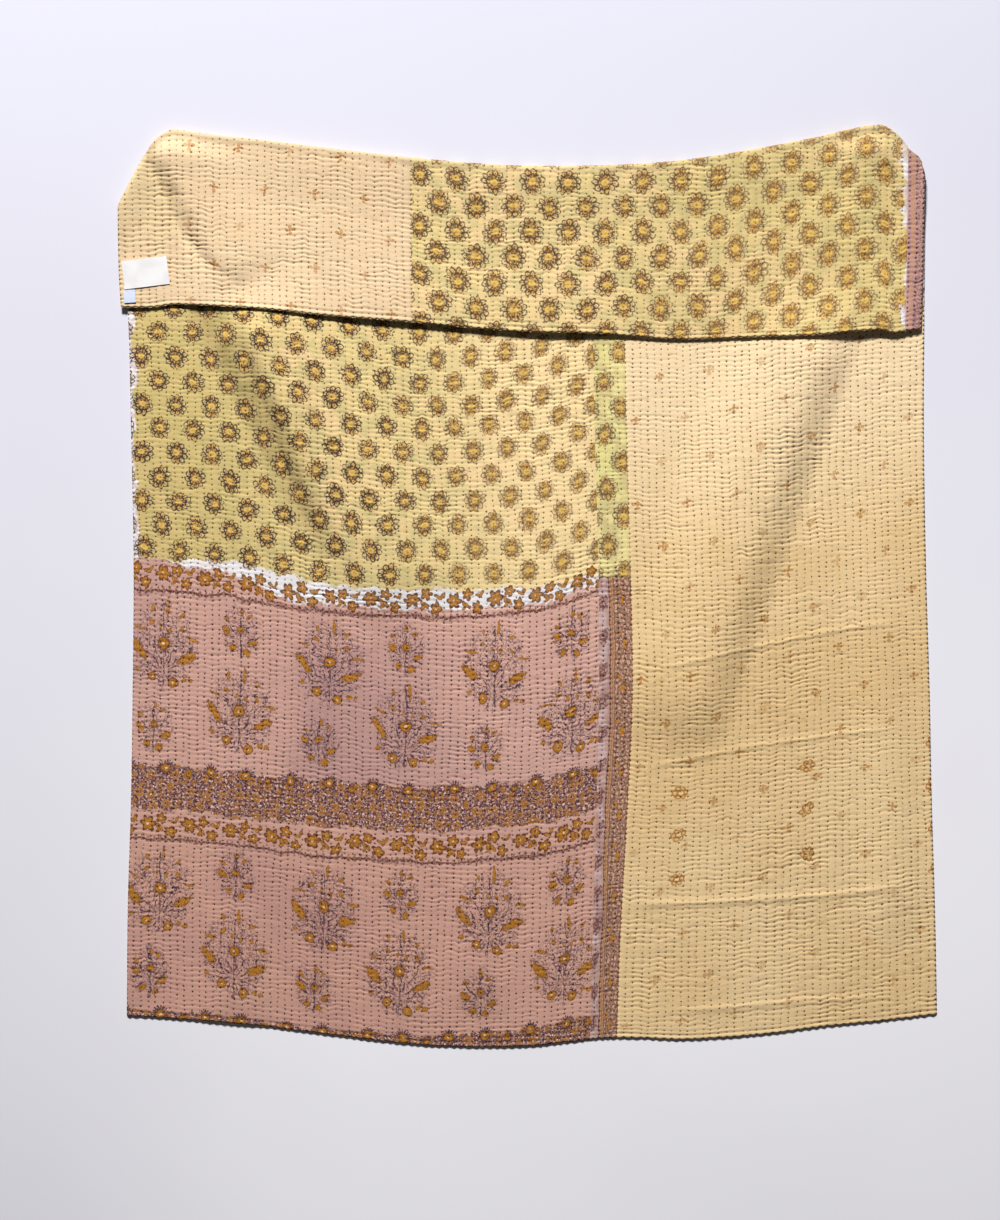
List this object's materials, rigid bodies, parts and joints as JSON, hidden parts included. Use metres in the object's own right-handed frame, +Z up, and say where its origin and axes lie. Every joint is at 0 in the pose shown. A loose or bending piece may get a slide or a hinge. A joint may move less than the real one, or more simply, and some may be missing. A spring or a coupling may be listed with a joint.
{
  "type": "kantha quilt",
  "caption": "Rectangular patchwork quilt, hand stitched through all its layers, laid flat with its head end turned down over the front.",
  "frame": {"origin": "centre of the quilt's box, on the surface it lies on", "axes": "+Z up out of the cloth's face, +Y along the quilt from its foot hem to the fold, +X across it to the right"},
  "size_m": [1.5419, 1.7362, 0.0256],
  "materials": {
    "quilted_cotton": "soft washed cotton in printed panels, puckered by rows of running stitch",
    "label_cloth": "smooth white woven label",
    "care_label_cloth": "smooth bluish white woven label"
  },
  "bodies": {
    "root": {"quilt": "quilted_cotton", "label": "label_cloth", "care_label": "care_label_cloth"}
  },
  "joints": []
}
